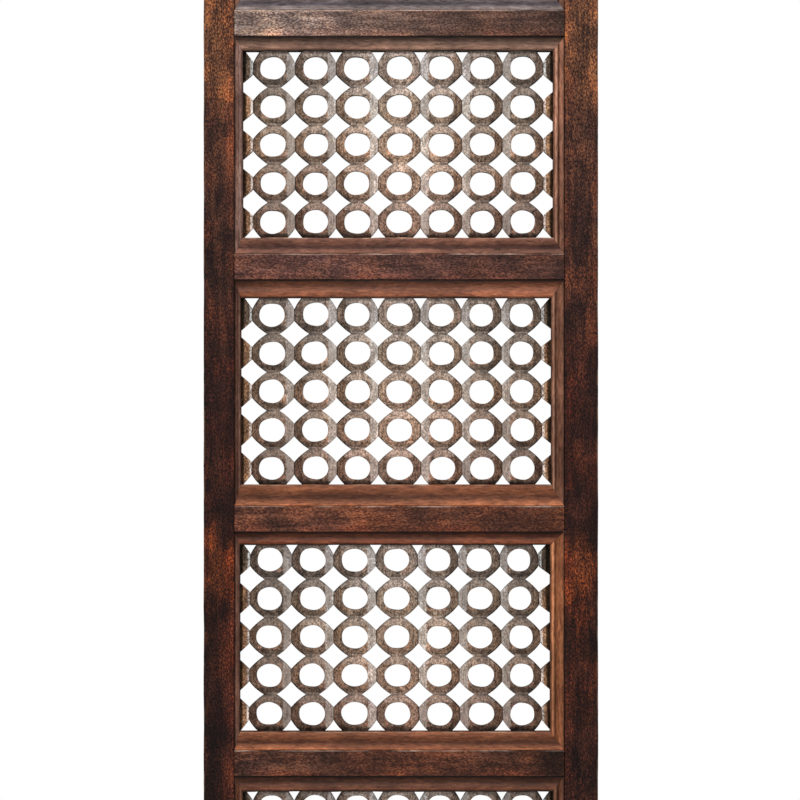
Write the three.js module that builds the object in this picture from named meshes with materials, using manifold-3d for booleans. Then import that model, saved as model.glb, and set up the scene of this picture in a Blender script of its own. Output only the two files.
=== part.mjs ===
// Mashrabiya screen: a tall joined wooden frame whose five cells hold lattices of pierced rings.
// Millimetres, +Z up. The origin is the middle of the top rail's back face, and the front faces -Y.
import * as THREE from "three";
import { mergeVertices } from "three/addons/utils/BufferGeometryUtils.js";
import Module from "manifold-3d";

// Gap between pieces that touch.
const jointGap = 0.3;

// Outer frame.
const leftStileWidth = 39.5;
const rightStileWidth = 43.5;
const railHeight = 33.6;
const frameThickness = 25;
const tenonLength = 22;
const tenonThickness = 8;
const tenonShoulder = 7; // height of rail above and below each tenon

// Lattice strips, each a column of pierced rings.
const ringColumns = 7;
const ringRows = 5;
const ringPitchX = 53.6;
const ringPitchZ = 49.6;
const holeWidth = 32.6;
const holeHeight = 29.2;
const holeSides = 6;
const contactHeight = 16.6; // flat where a ring meets the ring beside it
const neckWidth = 16.2; // wood between a ring and the ring above it
const headNotchDepth = 11; // the uppermost ring narrows this much on each side
const stripThickness = 12;
const latticeSetback = 6.5; // from the frame's front face to the strips
const latticeEngagement = 3.7; // how far the lattice goes into the moulding's grooves, on average
const latticeRise = 1; // how far the lattice sits above the middle of its opening
const halfStripWidth = 16.1;
const notchPastLip = 0.8; // a half strip's notches end this far behind the moulding's lip

// Mouldings round the cells. The lists have one value for each cell, from the top.
const sideMouldingWidth = 12.3; // the mean of a cell's left and right ones
const cellShifts = [-1.8, -1.8, -4.2, -5.6, -2]; // of the openings from midway between the stiles
const latticeShifts = [0, 0, 1.8, 1, 0]; // of the lattices from the middle of their openings
const headMouldingHeights = [20, 18.9, 23.5, 16.8, 20];
const sillMouldingHeights = [20, 20, 26.7, 23, 20];
const mouldingBackSetback = 3; // from the frame's back face
const mouldingEdgeDepth = 4; // depths below the frame's front face
const valleyDepth = 6.4;
const beadDepth = 2.8;
const lipDepth = 4.2;
const valleyPlace = 0.3; // shares of a moulding's width, from its outer edge
const beadPlace = 0.8;
const coveSteps = 2;
const beadSteps = 3;
const lipSteps = 2;

// Finishes: stained wood.
const stileWood = { color: 0x5a3626, roughness: 0.55 };
const railWood = { color: 0x64402f, roughness: 0.5 };
const mouldingWood = { color: 0x77503b, roughness: 0.5 };
const latticeWood = { color: 0x6f5a4a, roughness: 0.7 };

// Sizes that follow from those above.
const stripLength = ringRows * ringPitchZ;
const cellOpeningWidth = ringColumns * ringPitchX + 2 * (halfStripWidth - latticeEngagement);
const cellOpeningHeight = stripLength - 2 * latticeEngagement;
const stileSpacing = cellOpeningWidth + 2 * (sideMouldingWidth + jointGap);
const cellCount = headMouldingHeights.length;
const samePlace = 1e-6; // points nearer than this are one corner

const wasm = await Module();
wasm.setup();

// A closed geometry as a solid that can be joined and cut.
function toSolid(geometry) {
  const bare = new THREE.BufferGeometry();
  bare.setAttribute("position", geometry.toNonIndexed().getAttribute("position"));
  const merged = mergeVertices(bare);
  return new wasm.Manifold(
    new wasm.Mesh({
      numProp: 3,
      vertProperties: merged.getAttribute("position").array,
      triVerts: new Uint32Array(merged.index.array),
    }),
  );
}

// The geometry of a solid.
function toGeometry(solid) {
  const mesh = solid.getMesh();
  const indexed = new THREE.BufferGeometry();
  indexed.setAttribute("position", new THREE.BufferAttribute(mesh.vertProperties, 3));
  indexed.setIndex(new THREE.BufferAttribute(mesh.triVerts, 1));
  const geometry = indexed.toNonIndexed();
  geometry.computeVertexNormals();
  return geometry;
}

// A box as a solid, centred on a point.
function boxSolid(size, centre) {
  const geometry = new THREE.BoxGeometry(...size);
  geometry.translate(...centre);
  return toSolid(geometry);
}

// A flat outline in X and Z with holes, given thickness from the back forwards.
function slab(outline, holes, thickness, backY) {
  const shape = new THREE.Shape(outline);
  shape.holes = holes.map((points) => new THREE.Path(points));
  const geometry = new THREE.ExtrudeGeometry(shape, { depth: thickness, bevelEnabled: false });
  geometry.rotateX(Math.PI / 2);
  geometry.translate(0, backY, 0);
  return geometry;
}

// Heights of the rails' centres, from the top rail down to the bottom rail.
function railCentres() {
  const centres = [0];
  for (let cell = 0; cell < cellCount; cell++) {
    const moulded = headMouldingHeights[cell] + cellOpeningHeight + sillMouldingHeights[cell];
    centres.push(centres[cell] - railHeight - moulded - 2 * jointGap);
  }
  return centres;
}

// A rail with a tenon at each end.
function railGeometry() {
  const length = stileSpacing - 2 * jointGap;
  const y = -frameThickness / 2;
  const body = boxSolid([length, frameThickness, railHeight], [0, y, 0]);
  const tenonSize = [length + 2 * tenonLength, tenonThickness, railHeight - 2 * tenonShoulder];
  return toGeometry(body.add(boxSolid(tenonSize, [0, y, 0])));
}

// A stile with a mortise for each rail. side is -1 for the left one and 1 for the right one.
function stileGeometry(side, width, centres) {
  const top = railHeight / 2;
  const bottom = centres[cellCount] - railHeight / 2;
  const innerX = (side * stileSpacing) / 2;
  const y = -frameThickness / 2;
  let stile = boxSolid(
    [width, frameThickness, top - bottom],
    [innerX + (side * width) / 2, y, (top + bottom) / 2],
  );
  const mortiseSize = [
    2 * tenonLength,
    tenonThickness + 2 * jointGap,
    railHeight - 2 * tenonShoulder + 2 * jointGap,
  ];
  for (const z of centres) {
    stile = stile.subtract(boxSolid(mortiseSize, [innerX, y, z]));
  }
  return toGeometry(stile);
}

// The moulded front from the outer edge to the lip: a cove, then a bead that rolls over to the lip.
// Each point has its share of the moulding's width and its depth below the frame's face.
function mouldedFront() {
  const turns = [
    { place: 0, depth: mouldingEdgeDepth, steps: 0 },
    { place: valleyPlace, depth: valleyDepth, steps: coveSteps },
    { place: beadPlace, depth: beadDepth, steps: beadSteps },
    { place: 1, depth: lipDepth, steps: lipSteps },
  ];
  const front = [{ place: 0, depth: mouldingEdgeDepth }];
  for (let turn = 1; turn < turns.length; turn++) {
    const from = turns[turn - 1];
    const to = turns[turn];
    for (let step = 1; step <= to.steps; step++) {
      const share = step / to.steps;
      const eased = (1 - Math.cos(Math.PI * share)) / 2;
      front.push({
        place: from.place + (to.place - from.place) * share,
        depth: from.depth + (to.depth - from.depth) * eased,
      });
    }
  }
  return front;
}

// How far a cell's lattice goes into the groove on one side. side is -1 for left and 1 for right.
function sideEngagement(cell, side) {
  return latticeEngagement + side * latticeShifts[cell];
}

// A stick's section as points, each with its distance out from the lip and its depth. The lattice goes
// into the stick's groove as far as engagement.
function mouldingSection(width, engagement) {
  const grooveDepth = engagement + jointGap;
  const grooveFront = latticeSetback - jointGap;
  const grooveBack = latticeSetback + stripThickness + jointGap;
  const back = frameThickness - mouldingBackSetback;
  const front = mouldedFront().map((point) => ({ out: width * (1 - point.place), depth: point.depth }));
  return [
    ...front,
    { out: 0, depth: grooveFront },
    { out: grooveDepth, depth: grooveFront },
    { out: grooveDepth, depth: grooveBack },
    { out: 0, depth: grooveBack },
    { out: 0, depth: back },
    { out: width, depth: back },
  ];
}

// Four mitred sticks round one cell's opening, centred on the opening.
function mouldingGeometry(cell) {
  const left = mouldingSection(sideMouldingWidth + cellShifts[cell], sideEngagement(cell, -1));
  const right = mouldingSection(sideMouldingWidth - cellShifts[cell], sideEngagement(cell, 1));
  const head = mouldingSection(headMouldingHeights[cell], latticeEngagement + latticeRise);
  const sill = mouldingSection(sillMouldingHeights[cell], latticeEngagement - latticeRise);
  const corners = [
    { right: 1, up: 1 },
    { right: 1, up: -1 },
    { right: -1, up: -1 },
    { right: -1, up: 1 },
  ];
  const positions = [];
  for (const corner of corners) {
    const level = corner.up > 0 ? head : sill;
    const side = corner.right > 0 ? right : left;
    side.forEach((point, index) => {
      positions.push(
        corner.right * (cellOpeningWidth / 2 + point.out),
        -frameThickness + point.depth,
        corner.up * (cellOpeningHeight / 2 + level[index].out),
      );
    });
  }
  const indices = [];
  corners.forEach((corner, c) => {
    const here = c * head.length;
    const next = ((c + 1) % corners.length) * head.length;
    head.forEach((point, index) => {
      const after = (index + 1) % head.length;
      indices.push(here + index, here + after, next + index);
      indices.push(next + index, here + after, next + after);
    });
  });
  const geometry = new THREE.BufferGeometry();
  geometry.setAttribute("position", new THREE.BufferAttribute(new Float32Array(positions), 3));
  geometry.setIndex(indices);
  const faceted = geometry.toNonIndexed();
  faceted.computeVertexNormals();
  return faceted;
}

// Height of a row's ring centre above the middle of the strip.
function ringCentre(row) {
  return (row - (ringRows - 1) / 2) * ringPitchZ;
}

// One hole as a polygon of the same area as the ellipse, flat at its left and right.
function holeOutline(centreZ) {
  const turn = (2 * Math.PI) / holeSides;
  const sameArea = Math.sqrt(turn / Math.sin(turn));
  const points = [];
  for (let corner = 0; corner < holeSides; corner++) {
    const angle = (corner + 0.5) * turn;
    const x = (holeWidth / 2) * sameArea * Math.cos(angle);
    const z = centreZ + (holeHeight / 2) * sameArea * Math.sin(angle);
    points.push(new THREE.Vector2(x, z));
  }
  return points;
}

// The scalloped edge of a strip from its foot to its head: a flat at each ring and a notch between
// rings. The flats are at edgeX, and a notch goes in from there along inward, at most as far as reach.
// Above the uppermost ring the edge slopes in by the depth of the head's notch alone.
function scallopedEdge(edgeX, inward, reach) {
  const fullDepth = (ringPitchX - neckWidth) / 2;
  const depth = Math.min(fullDepth, reach);
  const floorX = edgeX + inward * depth;
  const floorHalf = ((ringPitchZ - contactHeight) / 2) * (1 - depth / fullDepth);
  const points = [];
  const add = (x, z) => {
    const point = new THREE.Vector2(x, z);
    if (points.length === 0 || points.at(-1).distanceTo(point) > samePlace) {
      points.push(point);
    }
  };
  add(floorX, -stripLength / 2);
  for (let row = 0; row < ringRows; row++) {
    const centre = ringCentre(row);
    add(floorX, centre - ringPitchZ / 2 + floorHalf);
    add(edgeX, centre - contactHeight / 2);
    add(edgeX, centre + contactHeight / 2);
    if (row < ringRows - 1) {
      add(floorX, centre + ringPitchZ / 2 - floorHalf);
    }
  }
  add(edgeX + inward * headNotchDepth, stripLength / 2);
  return points;
}

// A whole strip: five rings in one piece of wood, pierced.
function stripGeometry() {
  const edgeX = (ringPitchX - jointGap) / 2;
  const right = scallopedEdge(edgeX, -1, Infinity);
  const left = scallopedEdge(-edgeX, 1, Infinity).reverse();
  const holes = [];
  for (let row = 0; row < ringRows; row++) {
    holes.push(holeOutline(ringCentre(row)));
  }
  return slab([...right, ...left], holes, stripThickness, stripBackY());
}

// A half strip on one side of a cell's lattice, whose notches stop just behind the moulding's lip.
function halfStripGeometry(cell, side) {
  const edgeX = (side * jointGap) / 2;
  const reach = halfStripWidth - sideEngagement(cell, side) + notchPastLip;
  const inner = scallopedEdge(edgeX, side, reach);
  const outerX = side * halfStripWidth;
  const outer = [
    new THREE.Vector2(outerX, stripLength / 2),
    new THREE.Vector2(outerX, -stripLength / 2),
  ];
  return slab([...inner, ...outer], [], stripThickness, stripBackY());
}

// Depth of the strips' back faces.
function stripBackY() {
  return -(frameThickness - latticeSetback - stripThickness);
}

// A named mesh with its own material.
function piece(name, geometry, finish, position = [0, 0, 0]) {
  const material = new THREE.MeshStandardMaterial({ ...finish, metalness: 0 });
  const mesh = new THREE.Mesh(geometry, material);
  mesh.name = name;
  mesh.position.set(...position);
  return mesh;
}

// The outer frame: two stiles and six rails.
function outerFrame(centres) {
  const frame = new THREE.Group();
  frame.add(piece("left_stile", stileGeometry(-1, leftStileWidth, centres), stileWood));
  frame.add(piece("right_stile", stileGeometry(1, rightStileWidth, centres), stileWood));
  const geometry = railGeometry();
  centres.forEach((z, index) => {
    let name = `rail_${index + 1}`;
    if (index === 0) {
      name = "top_rail";
    }
    if (index === cellCount) {
      name = "bottom_rail";
    }
    frame.add(piece(name, geometry, railWood, [0, 0, z]));
  });
  return frame;
}

// The lattice of one cell, centred on itself: whole strips between two half strips.
function lattice(cell, cellName, strip) {
  const group = new THREE.Group();
  const edgeX = (ringColumns * ringPitchX) / 2;
  const leftHalf = halfStripGeometry(cell, -1);
  const rightHalf = halfStripGeometry(cell, 1);
  group.add(piece(`${cellName}_half_strip_left`, leftHalf, latticeWood, [-edgeX, 0, 0]));
  for (let column = 0; column < ringColumns; column++) {
    const x = (column - (ringColumns - 1) / 2) * ringPitchX;
    group.add(piece(`${cellName}_strip_${column + 1}`, strip, latticeWood, [x, 0, 0]));
  }
  group.add(piece(`${cellName}_half_strip_right`, rightHalf, latticeWood, [edgeX, 0, 0]));
  return group;
}

const screen = new THREE.Group();
const centres = railCentres();
screen.add(outerFrame(centres));
const strip = stripGeometry();
for (let cell = 0; cell < cellCount; cell++) {
  const cellName = `cell_${cell + 1}`;
  const openingTop = centres[cell] - railHeight / 2 - jointGap - headMouldingHeights[cell];
  const opening = new THREE.Group();
  const filling = lattice(cell, cellName, strip);
  filling.position.set(latticeShifts[cell], 0, latticeRise);
  opening.add(filling);
  opening.add(piece(`${cellName}_moulding`, mouldingGeometry(cell), mouldingWood));
  opening.position.set(cellShifts[cell], 0, openingTop - cellOpeningHeight / 2);
  screen.add(opening);
}

export default screen;
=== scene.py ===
# A mashrabiya screen of stained wood: stiles and rails round five cells of carved ring lattice.
import math

import bpy
import numpy as np
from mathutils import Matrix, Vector


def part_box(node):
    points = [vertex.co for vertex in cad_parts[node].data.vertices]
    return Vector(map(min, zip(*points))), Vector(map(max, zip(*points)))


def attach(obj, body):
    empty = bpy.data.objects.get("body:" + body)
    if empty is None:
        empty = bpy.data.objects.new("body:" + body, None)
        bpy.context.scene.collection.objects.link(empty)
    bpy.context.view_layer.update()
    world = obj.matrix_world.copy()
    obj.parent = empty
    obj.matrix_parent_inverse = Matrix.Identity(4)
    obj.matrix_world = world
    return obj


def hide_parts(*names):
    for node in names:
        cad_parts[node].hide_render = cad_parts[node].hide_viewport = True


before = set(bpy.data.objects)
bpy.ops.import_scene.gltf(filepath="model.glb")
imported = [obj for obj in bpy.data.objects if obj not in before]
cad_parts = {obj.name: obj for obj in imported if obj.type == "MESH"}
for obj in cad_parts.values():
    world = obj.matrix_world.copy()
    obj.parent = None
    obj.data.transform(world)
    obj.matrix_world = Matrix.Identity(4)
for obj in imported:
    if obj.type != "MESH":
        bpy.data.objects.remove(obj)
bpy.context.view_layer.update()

MM = 0.001

# The panel's sizes. Those of the notches at the head and the foot of a lattice, and how much shorter its
# flats are at the head, are the visible ones.
CELLS = 5
COLUMNS = 7
ROWS = 5
RING_PITCH_X = 53.6 * MM
RING_PITCH_Z = 49.6 * MM
LATTICE_HALF_HEIGHT = RING_PITCH_Z * ROWS / 2
HOLE_WIDTH = 32.6 * MM
HOLE_HEIGHT = 29.2 * MM
CONTACT_HEIGHT = 16.6 * MM
NECK_WIDTH = 16.2 * MM
HEAD_NOTCH_DEPTH = 12 * MM
HEAD_FLAT_CUT = 1.2 * MM
FOOT_NOTCH_DEPTH = 14.5 * MM
ENGAGEMENT = 3.7 * MM
LATTICE_RISE = 1 * MM
LATTICE_SHIFTS = {1: 0, 2: 0, 3: 1.8 * MM, 4: 1 * MM, 5: 0}
GROOVE_CLEARANCE = 0.3 * MM
NOTCH_PAST_LIP = 0.8 * MM
CONTACT_GAP = 0.02 * MM

# The hand-made lattices: how many millimetres each line between two strips stands to the right of even
# spacing, how many each lattice hangs low, and how many its right side leans outwards at the foot. A
# lattice is plumb at PLUMB_X and leans in full LEAN_REACH to the right of it.
LINE_SHIFTS = {
    1: (0, 0.3, 0.3, 0.8, 1, 0.8, 0.5, 0),
    2: (0.7, 1, 0.3, 1.3, 2.3, 2.2, 1, 0),
    3: (-0.3, 0.6, 1.9, 2, 3.3, 2.7, 0.8, -1.6),
    4: (-1, -0.8, 0, 1.4, 2.6, 1.2, 2.3, -1.5),
    5: (0, 0, 0.5, 1, 1, 0.5, 0.3, 0),
}
LATTICE_DROPS = {1: 0, 2: 1.2, 3: 1.2, 4: -0.3, 5: 0}
LATTICE_LEANS = {1: 0, 2: 0, 3: 1.2, 4: 3, 5: 0}
PLUMB_X = -100 * MM
LEAN_REACH = 300 * MM
FIRST_HOLE_SHIFT = -1.3 * MM

# The carving of the strips. The side bevels begin at RIDGE_X from a ring's middle and the end bevels at
# RIDGE_Z, and between two rings the end bevels meet at VALLEY_Z.
RIDGE_X = 16.3 * MM
RIDGE_Z = 14.8 * MM
VALLEY_Z = 22 * MM
SIDE_BEVEL_DROP = 6.2 * MM
END_BEVEL_DROP = 4 * MM
RIM_WEAR = 0.45 * MM
CARVING_ROUGHNESS = 0.16 * MM


def leaning(cell, x, height):
    """How far right the lean moves a lattice at x, at a height above its middle."""
    share = height / LATTICE_HALF_HEIGHT
    return -LATTICE_LEANS[cell] * MM * share * (x - PLUMB_X) / LEAN_REACH


def random_numbers(*seed):
    """A seeded source of random numbers."""
    return np.random.default_rng(list(seed))


RIPPLE_WAVES = 8
RIPPLE_SPREAD = (0.6, 1.5)


def ripple(points, wavelength, *seed):
    """Smooth noise of about unit size at each point: a sum of waves of about that length."""
    source = random_numbers(*seed)
    total = np.zeros(len(points))
    for _ in range(RIPPLE_WAVES):
        direction = source.normal(size=3)
        direction /= np.linalg.norm(direction)
        turns = 2 * math.pi / wavelength * source.uniform(*RIPPLE_SPREAD)
        total += np.sin(points @ direction * turns + source.uniform(0, 2 * math.pi))
    return total / math.sqrt(RIPPLE_WAVES / 2)


def unevenness(points, waves, seed):
    """Ripples added up. Each of the waves is a pair: height and length."""
    total = np.zeros(len(points))
    for index, (height, length) in enumerate(waves, 1):
        total += height * ripple(points, length, seed, index)
    return total


def mottling(points, contrast, wavelength, *seed):
    """Patches with soft edges, from 0 to 1."""
    return 0.5 + 0.5 * np.tanh(contrast * ripple(points, wavelength, *seed))


# Each pattern that shades the boards and the mouldings has a seed of its own.
BAND_SEED, PATCH_SEED, RAIL_SEED, RUB_SEED, WEAR_SEED, MOULDING_SEED, BLOTCH_SEED = range(71, 78)


def smoothstep(values, low, high):
    """0 below low, 1 above high, and a smooth rise between."""
    share = np.clip((values - low) / (high - low), 0, 1)
    return share * share * (3 - 2 * share)


def hump(values, middle, width):
    """1 at the middle, falling off within about the width to both sides, as a column."""
    return np.exp(-(((values - middle) / width) ** 2))[:, None]


# The colour sockets of a Mix node, by number.
MIX_A = 6
MIX_B = 7
MIX_RESULT = 2


class Shader:
    """A material's nodes, added one by one."""

    def __init__(self, name):
        self.material = bpy.data.materials.new(name)
        self.material.use_nodes = True
        self.tree = self.material.node_tree
        self.surface = self.tree.nodes["Principled BSDF"]

    def add(self, kind, inputs=None, **settings):
        """A node of that kind. An input is a value or another node's output socket."""
        node = self.tree.nodes.new(kind)
        for key, value in settings.items():
            setattr(node, key, value)
        for key, value in (inputs or {}).items():
            self.set(node.inputs[key], value)
        return node

    def set(self, socket, value):
        """Links or fills one input socket."""
        if isinstance(value, bpy.types.NodeSocket):
            self.tree.links.new(value, socket)
        else:
            socket.default_value = value

    def attribute(self, name, output):
        return self.add("ShaderNodeAttribute", attribute_name=name).outputs[output]

    def scaled(self, vector, factors):
        node = self.add("ShaderNodeVectorMath", {0: vector, 1: factors}, operation="MULTIPLY")
        return node.outputs["Vector"]

    def noise(self, vector, scale, detail=4.0, roughness=0.6, distortion=0.0):
        inputs = {
            "Vector": vector,
            "Scale": scale,
            "Detail": detail,
            "Roughness": roughness,
            "Distortion": distortion,
        }
        return self.add("ShaderNodeTexNoise", inputs).outputs["Fac"]

    def grain_noise(self, grain, waves, along, **settings):
        """Noise of that many waves a metre across the grain, and along times as many along it."""
        return self.noise(self.scaled(grain, (1, 1, along)), waves, **settings)

    def ramp(self, value, stops):
        node = self.add("ShaderNodeValToRGB", {"Fac": value})
        elements = node.color_ramp.elements
        while len(elements) < len(stops):
            elements.new(0.5)
        for element, (position, colour) in zip(elements, stops):
            element.position = position
            element.color = (*colour, 1)
        return node.outputs["Color"]

    def math(self, operation, a, b=0.0, clamp=False):
        node = self.add("ShaderNodeMath", {0: a, 1: b}, operation=operation, use_clamp=clamp)
        return node.outputs["Value"]

    def mix(self, blend, factor, a, b):
        node = self.add("ShaderNodeMix", data_type="RGBA", blend_type=blend)
        self.set(node.inputs["Factor"], factor)
        self.set(node.inputs[MIX_A], a)
        self.set(node.inputs[MIX_B], b)
        return node.outputs[MIX_RESULT]

    def bump(self, height, strength, distance):
        inputs = {"Height": height, "Strength": strength, "Distance": distance}
        return self.add("ShaderNodeBump", inputs).outputs["Normal"]


def grey(value):
    return (value, value, value)


# Patterns that all the wood has: waves a metre across the grain, and how many times that along it.
PATCH_GRAIN = (34, 0.6)
FLAKE_GRAIN = (260, 0.35)
STREAKS_PER_WAVE = 4
STREAKS_ALONG = 0.07
WAVES_ALONG = 0.16
PORE_COVER = 0.7
PORE_SHADE = 0.35
PORE_DEPTH = 0.5
SPECULAR_LEVEL = 0.12
BUMP_STRENGTH = 0.8


def stained_wood(
    name, colours, spread, grain_size, figure, fleck_share, patch_tones, pores, wear_and_highlight_colour,
    roughness, relief,
):
    """Stained wood whose grain runs along Z of the grain attribute.

    colours are dark, middle and light, and spread is how far the pattern's value goes from the middle
    colour to either. grain_size and pores are pairs: waves a metre across the grain, and how many times
    that along it. figure is the broad figure's waves a metre, and fleck_share is what the fine flecks
    have in the pattern. patch_tones multiply the colour in dark and in light patches."""
    shader = Shader(name)
    grain = shader.attribute("grain", "Vector")
    tint = shader.attribute("tint", "Color")
    wear_and_highlight = shader.attribute("wear_and_highlight", "Fac")

    flecks = shader.grain_noise(grain, *grain_size, detail=3)
    streaks = shader.grain_noise(grain, figure * STREAKS_PER_WAVE, STREAKS_ALONG)
    waves = shader.grain_noise(grain, figure, WAVES_ALONG, distortion=1.2)
    broad = shader.math("MULTIPLY", shader.math("ADD", streaks, waves), (1 - fleck_share) / 2)
    mixed = shader.math("ADD", shader.math("MULTIPLY", flecks, fleck_share), broad)
    dark, middle, light = colours
    wood = shader.ramp(mixed, [(0.5 - spread, dark), (0.5, middle), (0.5 + spread, light)])

    patches = shader.grain_noise(grain, *PATCH_GRAIN, detail=5, roughness=0.65)
    dark_patch, light_patch = patch_tones
    mottled = shader.ramp(patches, [(0.38, dark_patch), (0.5, grey(0.95)), (0.62, light_patch)])
    wood = shader.mix("MULTIPLY", 1.0, wood, mottled)

    open_pores = shader.grain_noise(grain, *pores, detail=2)
    pore_mask = shader.ramp(open_pores, [(0.58, grey(0)), (0.68, grey(1))])
    pore_colour = (*[PORE_SHADE * channel for channel in dark], 1)
    wood = shader.mix("MIX", shader.math("MULTIPLY", pore_mask, PORE_COVER), wood, pore_colour)
    wood = shader.mix("MULTIPLY", 1.0, wood, tint)

    # Pale flecks where the attribute is high: wear, and on the lattice's bevels and the rails' upper
    # arrises a painted highlight.
    flakes = shader.grain_noise(grain, *FLAKE_GRAIN, roughness=0.7)
    flake_mask = shader.ramp(flakes, [(0.34, grey(0.15)), (0.56, grey(1))])
    wear_and_highlight_share = shader.math("MULTIPLY", wear_and_highlight, flake_mask, clamp=True)
    wood = shader.mix("MIX", wear_and_highlight_share, wood, (*wear_and_highlight_colour, 1))
    shader.set(shader.surface.inputs["Base Color"], wood)
    shader.surface.inputs["Specular IOR Level"].default_value = SPECULAR_LEVEL

    low, high = roughness
    rough = shader.add(
        "ShaderNodeMapRange",
        {"Value": streaks, "From Min": 0.3, "From Max": 0.7, "To Min": low, "To Max": high},
    )
    shader.set(shader.surface.inputs["Roughness"], rough.outputs["Result"])
    height = shader.math("SUBTRACT", flecks, shader.math("MULTIPLY", pore_mask, PORE_DEPTH))
    shader.set(shader.surface.inputs["Normal"], shader.bump(height, BUMP_STRENGTH, relief))
    return shader.material


STILE = stained_wood(
    "stile_wood",
    colours=((0.012, 0.004, 0.003), (0.052, 0.018, 0.011), (0.17, 0.068, 0.032)),
    spread=0.085, grain_size=(640, 0.5), figure=60, fleck_share=0.6,
    patch_tones=((0.45, 0.47, 0.55), (1.75, 1.5, 1.2)), pores=(700, 0.4), wear_and_highlight_colour=(0.30, 0.17, 0.085),
    roughness=(0.45, 0.65), relief=0.5 * MM,
)
RAIL = stained_wood(
    "rail_wood",
    colours=((0.022, 0.008, 0.006), (0.064, 0.024, 0.016), (0.135, 0.06, 0.042)),
    spread=0.08, grain_size=(640, 0.5), figure=55, fleck_share=0.55,
    patch_tones=((0.6, 0.62, 0.68), (1.45, 1.35, 1.15)), pores=(700, 0.5), wear_and_highlight_colour=(0.36, 0.24, 0.19),
    roughness=(0.45, 0.65), relief=0.4 * MM,
)
MOULDING = stained_wood(
    "moulding_wood",
    colours=((0.052, 0.02, 0.012), (0.088, 0.036, 0.021), (0.135, 0.06, 0.036)),
    spread=0.115, grain_size=(420, 0.2), figure=40, fleck_share=0.5,
    patch_tones=(grey(0.8), grey(1.2)), pores=(500, 0.2), wear_and_highlight_colour=(0.40, 0.25, 0.17),
    roughness=(0.4, 0.55), relief=0.12 * MM,
)
LATTICE = stained_wood(
    "lattice_wood",
    colours=((0.045, 0.027, 0.018), (0.125, 0.082, 0.056), (0.25, 0.175, 0.125)),
    spread=0.085, grain_size=(460, 0.8), figure=90, fleck_share=0.6,
    patch_tones=(grey(0.74), grey(1.26)), pores=(520, 0.8), wear_and_highlight_colour=(0.30, 0.25, 0.215),
    roughness=(0.5, 0.7), relief=0.5 * MM,
)


SHARP_ANGLE = math.radians(32)


def make_piece(name, points, faces, node, material, grain, tint, wear_and_highlight):
    """A mesh piece that replaces one CAD node or shares in replacing it."""
    mesh = bpy.data.meshes.new(name)
    mesh.from_pydata(points.tolist(), [], faces)
    mesh.validate()
    for key, kind, field, values in (
        ("grain", "FLOAT_VECTOR", "vector", grain),
        ("tint", "FLOAT_COLOR", "color", np.column_stack([tint, np.ones(len(tint))])),
        ("wear_and_highlight", "FLOAT", "value", wear_and_highlight),
    ):
        layer = mesh.attributes.new(key, kind, "POINT")
        layer.data.foreach_set(field, np.ascontiguousarray(values, dtype=np.float32).ravel())
    mesh.shade_smooth()
    mesh.set_sharp_from_angle(angle=SHARP_ANGLE)
    mesh.materials.append(material)
    piece = bpy.data.objects.new(name, mesh)
    bpy.context.scene.collection.objects.link(piece)
    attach(piece, "root")
    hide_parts(node)
    return piece


WOOD_REACH = 5


def grain_coordinates(points, axis, *seed):
    """Each point's place in the wood, with the grain's run along Z. Each piece has its own start."""
    start = random_numbers(*seed).uniform(-WOOD_REACH, WOOD_REACH, 3)
    order = {"z": [0, 1, 2], "x": [2, 1, 0]}[axis]
    return points[:, order] + start


def bar_faces(stations, around, flip):
    """Faces of a bar with closed sections and closed ends. flip turns them the other way round."""
    faces = []
    for station in range(stations - 1):
        here = station * around
        above = here + around
        for point in range(around):
            after = (point + 1) % around
            faces.append((here + point, here + after, above + after, above + point))
    last = (stations - 1) * around
    faces.append(tuple(range(around))[::-1])
    faces.append(tuple(range(last, last + around)))
    if flip:
        faces = [face[::-1] for face in faces]
    return faces


# Boards: stiles and rails.
BOARD_STATION = 4 * MM
ARRIS = 1.3 * MM
ARRIS_STEPS = 4
ARRIS_FADE = 0.6 * MM
FACE_STEP = 5 * MM
PLANED = ((0.12, 90 * MM), (0.04, 14 * MM))
FACE_LOSS = 0.2
DENT_DEPTH = 0.4
DENT_RARITY = 0.9
DENT_LENGTH = 22 * MM


def board_section(width, thickness):
    """A rounded rectangle's points, centred, with each point's corner weight (0 on the flat faces)."""
    half_w = width / 2 - ARRIS
    half_t = thickness / 2 - ARRIS
    points = []
    corners = [(1, -1, -90), (1, 1, 0), (-1, 1, 90), (-1, -1, 180)]
    for index, (side_x, side_y, start) in enumerate(corners):
        centre = (side_x * half_w, side_y * half_t)
        for step in range(ARRIS_STEPS + 1):
            angle = math.radians(start + 90 * step / ARRIS_STEPS)
            out = (ARRIS * math.cos(angle), ARRIS * math.sin(angle))
            points.append((centre[0] + out[0], centre[1] + out[1], 1.0))
        next_x, next_y, _ = corners[(index + 1) % 4]
        following = (next_x * half_w, next_y * half_t)
        length = math.dist(centre, following)
        steps = max(2, round(length / FACE_STEP))
        fade = ARRIS_FADE / length
        shares = [fade] + [step / steps for step in range(1, steps)] + [1 - fade]
        for share in shares:
            x = centre[0] + (following[0] - centre[0]) * share + out[0]
            y = centre[1] + (following[1] - centre[1]) * share + out[1]
            points.append((x, y, 0.0))
    return np.array(points)


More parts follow.
